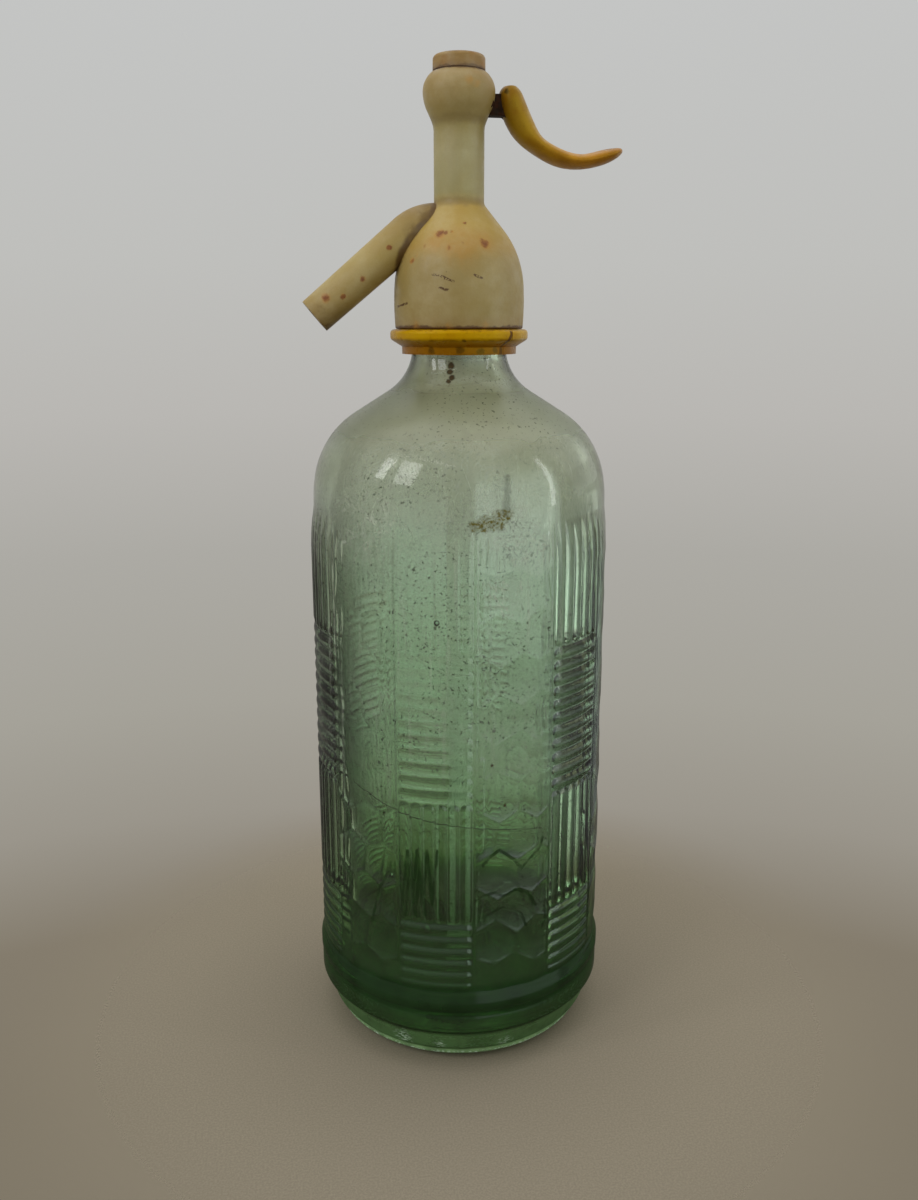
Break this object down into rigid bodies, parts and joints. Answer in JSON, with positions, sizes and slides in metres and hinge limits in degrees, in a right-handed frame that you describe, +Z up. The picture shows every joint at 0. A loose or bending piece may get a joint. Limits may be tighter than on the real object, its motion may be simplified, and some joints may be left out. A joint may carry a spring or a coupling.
{
  "type": "soda siphon",
  "caption": "Soda siphon: pressed-glass bottle with a stepped foot, plastic head with a bent spout, and a side lever that lifts a spring-closed valve above a dip tube.",
  "frame": {"origin": "centre of the ring that the bottle stands on", "axes": "+Z up the bottle's axis; the spout points along -X and the lever along +X"},
  "size_m": [0.099, 0.0976, 0.3098],
  "materials": {
    "green_glass": "pressed glass, pale grey-green, deeper green at the foot",
    "ivory_plastic": "aged ivory plastic with stains in the creases",
    "yellow_plastic": "yellow plastic, amber where thin",
    "ochre_plastic": "ochre plastic, worn darker at the tip",
    "tan_plastic": "tan plastic, satin",
    "tube_plastic": "clouded plastic",
    "black_rubber": "black rubber",
    "brass": "turned brass, dulled",
    "spring_steel": "bright spring wire",
    "rusty_steel": "steel, rusted dark brown"
  },
  "bodies": {
    "siphon": {"bottle": "green_glass", "collar_half_right": "yellow_plastic", "collar_half_left": "yellow_plastic", "head_body": "ivory_plastic", "spout": "ivory_plastic", "mouth_gasket": "black_rubber", "seat_bush": "brass", "seat_gasket": "black_rubber", "dip_tube": "tube_plastic", "tube_grommet": "black_rubber", "tube_nut": "brass", "spindle_guide": "brass", "return_spring": "spring_steel", "top_cap": "tan_plastic", "cap_washer": "black_rubber", "lever_pin": "spring_steel"},
    "valve": {"spindle": "brass", "valve_piston": "brass", "piston_ring_lower": "black_rubber", "piston_ring_upper": "black_rubber", "valve_washer": "black_rubber", "washer_screw": "brass"},
    "lever": {"lever_arm": "rusty_steel", "lever_handle": "ochre_plastic"}
  },
  "joints": [
    {"name": "lever_hinge", "type": "hinge", "parent": "siphon", "child": "lever", "pos_m": [0.0085, 0, 0.296], "axis": [0, 1, 0], "range_deg": [0, 18], "stiffness_Nm_per_rad": 0.26, "springref_deg": -34.38},
    {"name": "valve_slide", "type": "slide", "parent": "siphon", "child": "valve", "axis": [0, 0, 1], "range_m": [0, 0.00255], "deforming": ["return_spring"]}
  ],
  "couplings": [
    {"joint": "valve_slide", "follows": "lever_hinge", "m_per_rad": 0.008066}
  ]
}
